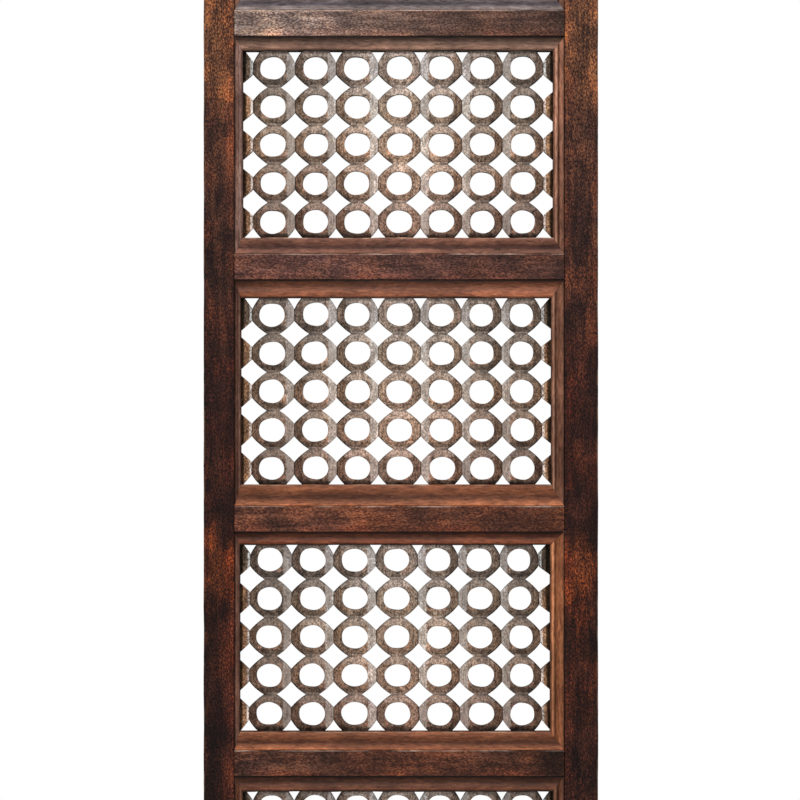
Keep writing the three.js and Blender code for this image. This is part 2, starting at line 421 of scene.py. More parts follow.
def board(node, low, high, axis, material, shade, edge_wear_and_highlight, seed):
    """A planed board in the box from low to high, with arrises paled by wear and, on the rails, by a
    painted highlight, and slightly uneven faces.
    """
    low = np.array(low)
    high = np.array(high)
    run, across = (2, 0) if axis == "z" else (0, 2)
    section = board_section(high[across] - low[across], high[1] - low[1])
    length = high[run] - low[run]
    stations = max(2, round(length / BOARD_STATION) + 1)
    centre = (low + high) / 2
    points = np.zeros((stations, len(section), 3))
    points[:, :, run] = np.linspace(low[run], high[run], stations)[:, None]
    points[:, :, across] = centre[across] + section[:, 0]
    points[:, :, 1] = centre[1] + section[:, 1]
    points = points.reshape(-1, 3)
    corner = np.tile(section[:, 2], stations)
    inward = centre - points
    inward[:, run] = 0
    inward /= np.linalg.norm(inward, axis=1)[:, None]
    dents = np.maximum(0, ripple(points, DENT_LENGTH, seed, 3) - DENT_RARITY) * corner
    loss = FACE_LOSS + unevenness(points, PLANED, seed) + DENT_DEPTH * dents
    points += inward * (loss * MM)[:, None]
    faces = bar_faces(stations, len(section), axis == "x")
    grain = grain_coordinates(points, axis, seed, 4)
    wear_and_highlight = corner * edge_wear_and_highlight(points, low, high)
    tint = shade(points, low, high)
    return make_piece(f"{node}_board", points, faces, node, material, grain, tint, wear_and_highlight)


def tone_at(values, places, tones):
    """Red, green and blue multipliers at each value, between tones given at rising places."""
    tones = np.array(tones)
    return np.column_stack([np.interp(values, places, tones[:, channel]) for channel in range(3)])


# Red, green and blue multipliers of the stiles by height.
STILE_HEIGHTS = (-1.5, -1.25, -1.12, -1.07, -1.05, -1, -0.97, -0.8, -0.5, -0.41, -0.38, -0.33, -0.1)
STILE_TONES = (
    (0.6, 0.45, 0.45), (0.42, 0.33, 0.38), (0.52, 0.38, 0.38), (0.62, 0.43, 0.4), (1.3, 0.85, 0.55),
    (1.4, 0.9, 0.6), (0.42, 0.31, 0.33), (0.33, 0.235, 0.285), (0.7, 0.66, 0.72),
    (0.87, 0.84, 0.82), (1.4, 1.4, 1.15), (1.5, 1.5, 1.25), (1.14, 1.16, 1.08),
)
STILE_STRETCH = (1, 1, 0.3)
BLOTCH_STRETCH = (1, 1, 0.4)
BAND_WANDER = 0.02
INNER_WARMTH = np.array([0.6, 0.3, 0.15])


def stile_shade(points, low, high):
    """Golden high up and in a band low down, dark between them and below, with redder patches towards
    the inner edge, dark blotches low down and painted shade in the joint where rails and mouldings meet
    it."""
    from_inner = np.abs(points[:, 0]) - min(abs(low[0]), abs(high[0]))
    stretched = points * STILE_STRETCH
    shifted = points[:, 2] + BAND_WANDER * ripple(stretched, 30 * MM, BAND_SEED)
    tint = tone_at(shifted, STILE_HEIGHTS, STILE_TONES)
    patches = mottling(stretched, 1.5, 40 * MM, PATCH_SEED)
    warm = (1 - smoothstep(from_inner, 3 * MM, 16 * MM)) * (0.25 + 0.75 * patches)
    tint *= 1 + warm[:, None] * INNER_WARMTH
    low_down = smoothstep(-points[:, 2], 0.55, 0.9)
    blotches = np.tanh(2 * ripple(points * BLOTCH_STRETCH, 26 * MM, BLOTCH_SEED))
    tint *= (1 + 0.28 * low_down * blotches)[:, None]
    on_right = smoothstep(points[:, 0], 0, 0.1)
    tint *= (1 + 0.2 * on_right * (1 - low_down))[:, None]
    at_foot = smoothstep(-points[:, 2], 1, 1.1)
    outer_half = smoothstep(from_inner, 8 * MM, 24 * MM)
    tint *= (1 + at_foot * (0.12 - 0.3 * outer_half))[:, None]
    # Painted shade in the joint along the inner edge.
    return tint * (1 - 0.55 * hump(from_inner, 0, 1 * MM))


# The same of the rails, from the lowest up, and how they differ from that at the left and the middle.
RAIL_HEIGHTS = (-1.4, -1.268, -0.954, -0.629, -0.315, -0.1)
RAIL_TONES = (
    (1.0, 0.84, 0.7), (1.05, 0.88, 0.69), (1.31, 1.04, 0.8),
    (1.14, 1.07, 1.1), (1.14, 1.33, 1.33), (1.1, 1.1, 1.1),
)
RAIL_LEFT_TONES = (
    (1, 1, 1), (0.82, 0.94, 1.09), (0.88, 0.96, 1.05),
    (1.13, 1.18, 1.22), (1.02, 1.06, 1.09), (1, 1, 1),
)
RAIL_MIDDLE_TONES = (
    (1, 1, 1), (1.28, 1.16, 1.06), (1.04, 1.03, 0.99),
    (1.01, 1.03, 1.03), (1.16, 1.12, 1.03), (1, 1, 1),
)
RAIL_STRETCH = (0.5, 1, 1)
RAIL_BLOOM = np.array([2.1, 4.6, 6])
RAIL_REDDENING = np.array([0.35, 0.05, -0.05])


def rail_shade(points, low, high):
    """Paler to the left, with a grey bloom on the two highest, and redder along the lower edge."""
    share = (points[:, 2] - low[2]) / (high[2] - low[2])
    left = smoothstep(-points[:, 0], -0.25, 0.25)
    bloom = left * left * smoothstep(points[:, 2], -0.5, -0.33)
    mottle = mottling(points * RAIL_STRETCH, 1.2, 40 * MM, RAIL_SEED)
    tint = tone_at(points[:, 2], RAIL_HEIGHTS, RAIL_TONES)
    at_left = smoothstep(-points[:, 0], 0.04, 0.12)[:, None]
    in_middle = 1 - smoothstep(np.abs(points[:, 0]), 0.04, 0.12)[:, None]
    tint *= 1 + at_left * (tone_at(points[:, 2], RAIL_HEIGHTS, RAIL_LEFT_TONES) - 1)
    tint *= 1 + in_middle * (tone_at(points[:, 2], RAIL_HEIGHTS, RAIL_MIDDLE_TONES) - 1)
    tint *= (0.55 + 0.4 * left + 0.45 * mottle)[:, None]
    tint += (bloom * (0.5 + 0.5 * mottle))[:, None] * RAIL_BLOOM
    tint *= 1 + ((1 - smoothstep(share, 0.0, 0.35)) * mottle)[:, None] * RAIL_REDDENING
    tint *= 1 - 0.3 * smoothstep(points[:, 0], 0.16, 0.2)[:, None]
    return tint


def stile_wear(points, low, high):
    """Some of the outer arrises are rubbed."""
    outer = np.abs(points[:, 0]) > max(abs(low[0]), abs(high[0])) - 5 * MM
    return np.where(outer, 0.35 * np.clip(ripple(points, 50 * MM, RUB_SEED), 0, 1), 0)


def rail_wear_and_highlight(points, low, high):
    """The upper front arris is paler, most on the higher rails: wear, and a painted highlight where it
    catches the light from above.
    """
    upper = points[:, 2] > high[2] - 3 * MM
    front = points[:, 1] < low[1] + 3 * MM
    by_height = 0.25 + 0.35 * smoothstep(points[:, 2], -1.2, -0.7)
    wear_and_highlight = by_height + 0.35 * ripple(points, 60 * MM, WEAR_SEED)
    return np.where(upper & front, np.clip(wear_and_highlight, 0, 1), 0.05)


STILES = ("left_stile", "right_stile")
RAILS = ("top_rail", "rail_2", "rail_3", "rail_4", "rail_5", "bottom_rail")
FIRST_STILE_SEED = 10
FIRST_RAIL_SEED = 20
RAIL_GAP = 0.3 * MM


def outer_frame():
    """Two stiles and the rails between them."""
    for seed, node in enumerate(STILES, FIRST_STILE_SEED):
        low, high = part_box(node)
        board(node, low, high, "z", STILE, stile_shade, stile_wear, seed)
    stile_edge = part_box("right_stile")[0].x
    for seed, node in enumerate(RAILS, FIRST_RAIL_SEED):
        low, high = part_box(node)
        low.x = -stile_edge + RAIL_GAP
        high.x = stile_edge - RAIL_GAP
        board(node, low, high, "x", RAIL, rail_shade, rail_wear_and_highlight, seed)


# Mouldings.
MOULDING_STATION = 5 * MM
EDGE_DEPTH = 4 * MM
VALLEY_DEPTH = 6.4 * MM
BEAD_DEPTH = 2.8 * MM
LIP_DEPTH = 4.2 * MM
VALLEY_PLACE = 0.3
BEAD_PLACE = 0.8
CURVE_STEPS = 7
MITRE_GAP = 0.12 * MM
MOULDED = ((0.16, 70 * MM), (0.1, 16 * MM))
SHAPED_LOSS = 0.2
LIP_BAND = 1.5 * MM
LIP_WANDER = 0.25 * MM
LIP_WEAR = 0.3
PLACES = ("head", "sill", "left", "right")


def moulded_front():
    """Shares of the width from the outer edge, and depths below the frame's face: cove, then bead."""
    turns = [(0, EDGE_DEPTH), (VALLEY_PLACE, VALLEY_DEPTH), (BEAD_PLACE, BEAD_DEPTH), (1, LIP_DEPTH)]
    front = [turns[0]]
    for (place, depth), (next_place, next_depth) in zip(turns, turns[1:]):
        for step in range(1, CURVE_STEPS + 1):
            share = step / CURVE_STEPS
            eased = (1 - math.cos(math.pi * share)) / 2
            front.append((place + (next_place - place) * share, depth + (next_depth - depth) * eased))
    return np.array(front)


def stick_section(width, engagement, lattice_front, lattice_back, back):
    """A stick's section: distance out from the lip, and depth, all round. The lattice goes into its
    groove as far as engagement."""
    front = moulded_front()
    groove_depth = engagement + GROOVE_CLEARANCE
    groove_front = lattice_front - GROOVE_CLEARANCE
    groove_back = lattice_back + GROOVE_CLEARANCE
    shaped = np.column_stack([width * (1 - front[:, 0]), front[:, 1]])
    rest = np.array([
        (0, groove_front),
        (groove_depth, groove_front),
        (groove_depth, groove_back),
        (0, groove_back),
        (0, back),
        (width, back),
    ])
    return np.vstack([shaped, rest])


FRONT_POINTS = len(moulded_front())


def stick(cell, place, level, before, after, half_run, half_level, centre):
    """One mitred stick. level is its own section; before and after are those of the sticks it meets.
    half_run is half the opening's size along the stick, and half_level is half the other one."""
    upright = place in ("left", "right")
    sign = 1 if place in ("head", "right") else -1
    seed = 100 * cell + 1 + PLACES.index(place)
    start = -half_run - before[:, 0] + MITRE_GAP
    end = half_run + after[:, 0] - MITRE_GAP
    stations = round(2 * half_run / MOULDING_STATION) + 1
    share = np.linspace(0, 1, stations)[:, None]
    run = start + (end - start) * share
    points = np.zeros((stations, len(level), 3))
    along, across = (2, 0) if upright else (0, 2)
    points[:, :, along] = centre[along] + run
    points[:, :, across] = centre[across] + sign * (half_level + level[:, 0])
    points[:, :, 1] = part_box("left_stile")[0].y + level[:, 1]
    points = points.reshape(-1, 3)
    shaped = np.tile(np.arange(len(level)) < FRONT_POINTS, stations)
    loss = unevenness(points, MOULDED, seed) + SHAPED_LOSS
    points[:, 1] += np.where(shaped, loss * MM, 0)
    lip = np.tile(level[:, 0] < LIP_BAND, stations) & shaped
    points[:, across] += np.where(lip, LIP_WANDER * ripple(points, 40 * MM, seed, 3), 0)
    out = np.tile(level[:, 0], stations)
    tint = moulding_shade(points, out, level[:, 0].max(), cell, place)
    rubbed = LIP_WEAR * (1 + ripple(points, 30 * MM, seed, 4))
    wear_and_highlight = np.clip(np.where(lip & (place == "sill"), rubbed, 0), 0, 1)
    return make_piece(
        f"cell_{cell}_{place}_stick", points, bar_faces(stations, len(level), (sign > 0) == upright),
        f"cell_{cell}_moulding", MOULDING,
        grain_coordinates(points, "z" if upright else "x", seed, 5), tint, wear_and_highlight,
    )


# Red, green and blue multipliers of each cell's sticks, in the order of PLACES.
MOULDING_TONES = {
    1: ((1.3, 1.5, 1.7), (1.3, 2.4, 3.8), (1.6, 1.8, 2), (1.6, 1.8, 2)),
    2: ((1.2, 1.5, 1.7), (1.5, 1.43, 1.5), (1.8, 2.3, 3), (2.4, 2.5, 2.6)),
    3: ((1.65, 1.3, 1.05), (2, 1.6, 1.2), (1.1, 1.2, 1.4), (1.6, 1.6, 1.6)),
    4: ((1.1, 0.73, 0.53), (2.2, 1.8, 1.4), (1.8, 2, 2.3), (2.6, 2.2, 1.6)),
    5: ((1, 0.87, 0.78), (1.4, 1.2, 1), (1.4, 1.3, 1.2), (1.4, 1.3, 1.2)),
}
# How far the painted highlight on the bead at the sides stands from the lip.
SIDE_BEADS = {1: 3.4 * MM, 2: 3.9 * MM, 3: 2.4 * MM, 4: 3.3 * MM, 5: 3 * MM}
MOULDING_STRETCH = (0.6, 1, 0.6)
VALLEY_SHADE = np.array([0.45, 0.4, 0.25])
GOLDEN_EDGE = np.array([1.3, 1.2, 0.9])
BEAD_HIGHLIGHT = np.array([0.75, 1, 1.15])


def moulding_shade(points, out, width, cell, place):
    """Painted shade in a sill's valley, against the frame, at the lip and on a head towards the rail,
    with a painted shadow under the rail; painted highlights on a head's bead, near a sill's outer edge
    and on the bead at the sides, with painted shade in the valley beside it at the right; a golden outer
    edge on the lower sills."""
    share = 1 - out / width
    from_frame = width - out
    mottle = mottling(points * MOULDING_STRETCH, 1, 50 * MM, MOULDING_SEED)
    tint = (0.85 + 0.3 * mottle)[:, None] * np.array(MOULDING_TONES[cell][PLACES.index(place)])
    if place == "head":
        # Painted shade: darker towards the rail above.
        tint *= 0.68 + 0.64 * smoothstep(share, 0.3, 0.7)[:, None]
        # Painted shadow under the rail.
        tint *= 1 - 0.93 * hump(from_frame, 0, 2.6 * MM)
        # Painted highlight on the bead.
        tint *= 1 + 0.25 * hump(out, 3.6 * MM, 1.6 * MM)
        # Painted shade at the lip, which faces down.
        tint *= 1 - 0.95 * hump(out, 0, 1.9 * MM)
    elif place == "sill":
        # Painted shade in the valley, which faces down.
        tint *= 1 - hump(share, VALLEY_PLACE + 0.1, 0.14) * VALLEY_SHADE
        # Painted highlight near the outer edge, where the cove faces up.
        tint *= 1 + 0.3 * hump(share, 0.1, 0.12)
        low_down = smoothstep(-points[:, 2], 0.5, 1.2)[:, None]
        tint *= 1 + low_down * hump(share, 0, 0.06) * GOLDEN_EDGE
    else:
        bead = SIDE_BEADS[cell]
        # Painted highlight on the bead.
        tint *= 1 + hump(out, bead, 1.3 * MM) * BEAD_HIGHLIGHT
        # Painted shade at the lip.
        tint *= 1 - 0.6 * hump(out, 0, 0.6 * bead)
        # Painted shade in the joint against the frame.
        tint *= 1 - 0.8 * hump(from_frame, 0, 1.3 * MM)
        if place == "right":
            # Painted shade in the valley beside the bead.
            tint *= 1 - 0.8 * hump(out, bead + 3.1 * MM, 1.1 * MM)
    return tint


def opening_of(cell):
    """The middle and the half sizes of a cell's opening."""
    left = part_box(f"cell_{cell}_half_strip_left")[0]
    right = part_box(f"cell_{cell}_half_strip_right")[1]
    half_width = (right.x - left.x) / 2 - ENGAGEMENT
    half_height = (right.z - left.z) / 2 - ENGAGEMENT
    middle_x = (left.x + right.x) / 2 - LATTICE_SHIFTS[cell]
    middle = np.array([middle_x, 0, (left.z + right.z) / 2 - LATTICE_RISE])
    return middle, half_width, half_height


def mouldings(cell):
    """The four mitred sticks round a cell's opening."""
    low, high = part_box(f"cell_{cell}_moulding")
    middle, half_width, half_height = opening_of(cell)
    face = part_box("left_stile")[0].y
    strip_low, strip_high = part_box(f"cell_{cell}_strip_1")
    depths = (strip_low.y - face, strip_high.y - face, high.y - face)
    shift = LATTICE_SHIFTS[cell]
    rise = LATTICE_RISE - LATTICE_DROPS[cell] * MM
    left = stick_section(middle[0] - half_width - low.x, ENGAGEMENT - shift, *depths)
    right = stick_section(high.x - middle[0] - half_width, ENGAGEMENT + shift, *depths)
    head = stick_section(high.z - middle[2] - half_height, ENGAGEMENT + rise, *depths)
    sill = stick_section(middle[2] - half_height - low.z, ENGAGEMENT - rise, *depths)
    stick(cell, "head", head, left, right, half_width, half_height, middle)
    stick(cell, "sill", sill, left, right, half_width, half_height, middle)
    stick(cell, "left", left, sill, head, half_height, half_width, middle)
    stick(cell, "right", right, sill, head, half_height, half_width, middle)


# The lattice: steps in each stretch of a ring's outline, where its sections lie on the way from its hole
# to its outline, in front and behind, and where they lie on the way through its walls.
FLAT_STEPS = 6
SLOPE_STEPS = 11
NECK_STEPS = 8
FRONT_SHARES = np.array([0, 0.035, 0.13, 0.26, 0.39, 0.52, 0.63, 0.74, 0.82, 0.88, 0.94, 1.0])
BACK_SHARES = np.array([1.0, 0.96, 0.5, 0.04, 0.0])
WALL_SHARES = np.array([0.12, 0.5, 0.88])
BULGE = 0.9 * MM
HOLE_WIDTHS = (0.975, 1.02)
HOLE_HEIGHTS = (1.0, 1.045)
HOLE_SQUARENESS = 2.15
HOLE_WANDER = 0.35 * MM
THREE_LOBES = 0.25 * MM
FIVE_LOBES = 0.18 * MM
BACK_WEAR = 0.3 * MM


def ring_outline(head, foot, flat_cut):
    """One ring's outline, anticlockwise from the foot of its right flat, and whether each stretch is
    on the upper or the lower neck, where the ring goes over into the next one. head and foot are half
    its width at the ends, and flat_cut is how much shorter its flats are at the upper end."""
    half_x = RING_PITCH_X / 2 - CONTACT_GAP
    half_z = RING_PITCH_Z / 2
    flat = CONTACT_HEIGHT / 2
    corners = [
        ((half_x, -flat), FLAT_STEPS, "flat"),
        ((half_x, flat - flat_cut), SLOPE_STEPS, "slope"),
        ((head, half_z), NECK_STEPS, "upper"),
        ((-head, half_z), SLOPE_STEPS, "slope"),
        ((-half_x, flat - flat_cut), FLAT_STEPS, "flat"),
        ((-half_x, -flat), SLOPE_STEPS, "slope"),
        ((-foot, -half_z), NECK_STEPS, "lower"),
        ((foot, -half_z), SLOPE_STEPS, "slope"),
    ]
    points = []
    stretches = []
    for index, (start, steps, stretch) in enumerate(corners):
        end = corners[(index + 1) % len(corners)][0]
        start = np.array(start)
        end = np.array(end)
        length = np.linalg.norm(end - start)
        outward = np.array([end[1] - start[1], start[0] - end[0]]) / length
        for step in range(steps):
            share = step / steps
            point = start + (end - start) * share
            if stretch == "slope":
                point = point + outward * BULGE * 4 * share * (1 - share)
            points.append(point)
            stretches.append(stretch)
    return np.array(points), stretches


HALF_NECK = NECK_WIDTH / 2
OUTLINE, STRETCHES = ring_outline(HALF_NECK, HALF_NECK, 0)
UPPERMOST_OUTLINE, _ = ring_outline(RING_PITCH_X / 2 - HEAD_NOTCH_DEPTH, HALF_NECK, HEAD_FLAT_CUT)
LOWEST_OUTLINE, _ = ring_outline(HALF_NECK, RING_PITCH_X / 2 - FOOT_NOTCH_DEPTH, 0)
OUTLINES = [LOWEST_OUTLINE, *[OUTLINE] * (ROWS - 2), UPPERMOST_OUTLINE]
UPPER_NECK = STRETCHES.index("upper") + np.arange(NECK_STEPS + 1)
LOWER_NECK = STRETCHES.index("lower") + np.arange(NECK_STEPS + 1)
AROUND = len(OUTLINE)

# A section of a ring goes over the front from the hole to the outline, down the outer wall, back over the
# back and up the wall of the hole. The outer sections are those that the outline itself has.
SECTIONS = len(FRONT_SHARES) + len(BACK_SHARES) + 2 * len(WALL_SHARES)
OUTER_SECTIONS = range(len(FRONT_SHARES) - 1, len(FRONT_SHARES) + len(WALL_SHARES) + 1)


def neck_shared(row, stretch):
    """Whether that stretch of a ring's outline is a neck that goes over into another ring."""
    return (stretch == "upper" and row < ROWS - 1) or (stretch == "lower" and row > 0)


def strip_layout():
    """What all strips have in common: the numbers of the points in use, the quads between these, which
    of them are on the front, and how far each of those lies from the hole to the outline."""
    ids = np.arange(ROWS * SECTIONS * AROUND).reshape(ROWS, SECTIONS, AROUND)
    faces = []
    for row in range(ROWS):
        if row > 0:
            for section in OUTER_SECTIONS:
                ids[row, section, LOWER_NECK] = ids[row - 1, section, UPPER_NECK[::-1]]
        for section in range(SECTIONS):
            here = ids[row, section]
            there = ids[row, (section + 1) % SECTIONS]
            on_wall = section in OUTER_SECTIONS[:-1]
            for index, stretch in enumerate(STRETCHES):
                if on_wall and neck_shared(row, stretch):
                    continue
                after = (index + 1) % AROUND
                faces.append((here[index], here[after], there[after], there[index]))
    used, quads = np.unique(np.array(faces), return_inverse=True)
    layer = used // AROUND % SECTIONS
    front = layer < len(FRONT_SHARES)
    shares = FRONT_SHARES[np.where(front, layer, 0)]
    return used, [tuple(quad) for quad in quads.reshape(-1, 4).tolist()], front, shares


USED_POINTS, STRIP_QUADS, ON_FRONT, OUTLINE_SHARES = strip_layout()


def hole_radius(angles, half_width, half_height):
    """Distance from the centre to a slightly squared ellipse."""
    x = np.abs(np.cos(angles) / half_width) ** HOLE_SQUARENESS
    z = np.abs(np.sin(angles) / half_height) ** HOLE_SQUARENESS
    return (x + z) ** (-1 / HOLE_SQUARENESS)


def bevels(x, z):
    """How far the bevels at a ring's side, top and foot lie below the strip's face, from its centre.

    The foot's bevel is short and steep, and the top bevel of the ring below begins at its valley."""
    side = (np.abs(x) - RIDGE_X) * SIDE_BEVEL_DROP / (RING_PITCH_X / 2 - RIDGE_X)
    rise = END_BEVEL_DROP / (RING_PITCH_Z - VALLEY_Z - RIDGE_Z)
    top = np.where(z > -VALLEY_Z, z - RIDGE_Z, z + RING_PITCH_Z - RIDGE_Z) * rise
    foot = np.where(z > -VALLEY_Z, -z - RIDGE_Z, -RIDGE_Z) * END_BEVEL_DROP / (VALLEY_Z - RIDGE_Z)
    return side, top, foot


def carved_drop(x, z):
    """How far the front lies below the strip's face, from the ring's centre."""
    return np.maximum(0, np.maximum.reduce(bevels(x, z)))


def ring_points(row, thickness, hole_shift, source):
    """All points of one ring from its own centre, section after section."""
    outline = OUTLINES[row]
    angles = np.arctan2(outline[:, 1], outline[:, 0])
    half_w = HOLE_WIDTH / 2 * source.uniform(*HOLE_WIDTHS)
    half_h = HOLE_HEIGHT / 2 * source.uniform(*HOLE_HEIGHTS)
    off = source.normal(0, HOLE_WANDER, 2) + np.array([hole_shift, 0])
    wave = THREE_LOBES * np.sin(3 * angles + source.uniform(0, 6)) * source.uniform(0.3, 1)
    wave += FIVE_LOBES * np.sin(5 * angles + source.uniform(0, 6))
    radius = hole_radius(angles, half_w, half_h) + wave
    hole = np.column_stack([radius * np.cos(angles) + off[0], radius * np.sin(angles) + off[1]])

    def on_front(share):
        """The points at that share of the way from the hole to the outline, on the carved front."""
        x, z = (hole + (outline - hole) * share).T
        return np.column_stack([x, carved_drop(x, z) + (RIM_WEAR if share in (0, 1) else 0), z])

    def on_back(share):
        """The same on the flat back."""
        x, z = (hole + (outline - hole) * share).T
        depth = thickness - (BACK_WEAR if share in (0, 1) else 0)
        return np.column_stack([x, np.full(AROUND, depth), z])

    front = [on_front(share) for share in FRONT_SHARES]
    back = [on_back(share) for share in BACK_SHARES]
    outer_wall = [front[-1] + (back[0] - front[-1]) * share for share in WALL_SHARES]
    hole_wall = [back[-1] + (front[0] - back[-1]) * share for share in WALL_SHARES]
    return np.vstack([*front, *outer_wall, *back, *hole_wall])


CARVED = ((0.7, 4.5 * MM), (0.8, 12 * MM))
CARVED_LOSS = 1.4
CHISEL_STRETCH = (1, 1, 0.3)
END_MARGIN = 0.1 * MM


def ring_strip(cell, column):
    """A strip of five carved rings that go over into one another at the necks, roughened and shaded."""
    node = f"cell_{cell}_strip_{column}"
    low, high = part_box(node)
    middle = np.array(((low.x + high.x) / 2, low.y, (low.z + high.z) / 2))
    hole_shift = FIRST_HOLE_SHIFT if column == 1 else 0
    source = random_numbers(cell, column, 5)
    rings = [ring_points(row, high.y - low.y, hole_shift, source) for row in range(ROWS)]
    local = np.vstack(rings)[USED_POINTS]
    centres = (np.arange(ROWS) - (ROWS - 1) / 2) * RING_PITCH_Z
    points = local.copy()
    points[:, 2] += np.repeat(centres, SECTIONS * AROUND)[USED_POINTS]

    world = points + middle
    left, right = LINE_SHIFTS[cell][column - 1 : column + 1]
    world[:, 0] += (left + (right - left) * (points[:, 0] / RING_PITCH_X + 0.5)) * MM
    world[:, 0] += leaning(cell, world[:, 0], points[:, 2])
    world[:, 2] -= LATTICE_DROPS[cell] * MM
    seed = 1000 * cell + column
    rough = unevenness(world, CARVED, seed)
    rough += 0.5 * ripple(world * CHISEL_STRETCH, 2.6 * MM, seed, 3)
    inside = ON_FRONT & (np.abs(points[:, 2]) < LATTICE_HALF_HEIGHT - END_MARGIN)
    world[:, 1] += np.where(inside, CARVING_ROUGHNESS * (rough + CARVED_LOSS), 0)
    tint, wear_and_highlight = lattice_shade(world, local, column, middle[2], seed)
    return make_piece(
        f"cell_{cell}_ring_strip_{column}", world, STRIP_QUADS, node, LATTICE,
        grain_coordinates(world, "z", seed, 5), tint, wear_and_highlight,
    )


# Red, green and blue multipliers of a lattice from its foot (-1) to its head (1). The dark ends are
# painted shade above the sill and under the head's lip.
LATTICE_HEIGHTS = (-1, -0.94, -0.8, -0.4, 0, 0.4, 0.8, 0.95, 1)
LATTICE_TONES = (
    (0.4, 0.35, 0.35), (0.8, 0.67, 0.65), (0.79, 0.68, 0.68), (1.08, 1, 0.98), (1.15, 1.12, 1.1),
    (0.96, 1.02, 1.06), (0.84, 0.92, 1.06), (0.92, 1, 1.12), (0.5, 0.55, 0.6),
)
# One bevel goes over into the next where their depths differ by less than this.
BEVEL_BLEND = 0.25 * MM


def bevel_masks(local):
    """How much each point is on a side bevel, on a top bevel and on a foot bevel."""
    side, top, foot = bevels(local[:, 0], local[:, 2])
    ends = np.maximum(top, foot)
    on_side = smoothstep(side - np.maximum(ends, 0), -BEVEL_BLEND, BEVEL_BLEND) * (side > 0)
    on_end = smoothstep(ends - np.maximum(side, 0), -BEVEL_BLEND, BEVEL_BLEND) * (ends > 0)
    return on_side, on_end * (top > foot), on_end * (foot > top)


# What lattice_shade adds to red, green and blue on warm flats, and as painted highlights on the bevels
# that face the middle and on the upper bevels, and in what proportion its painted shade changes them on
# the bevels that face away.
WARM_FLATS = np.array([0.5, 0.22, 0.05])
INNER_BEVEL_HIGHLIGHT = np.array([1.3, 1.85, 2.5])
UPPER_BEVEL_HIGHLIGHT = np.array([0.8, 0.9, 1.05])
AWAY_BEVEL_SHADE = np.array([0.11, 0.01, -0.07])
WEAKER_HIGHLIGHT_STRIPS = {1: 0.68, COLUMNS: 0.9}
DEEPER_GAP_SHADE_STRIPS = (3, 4)
MIDDLE_LIGHT_REACH = 0.11


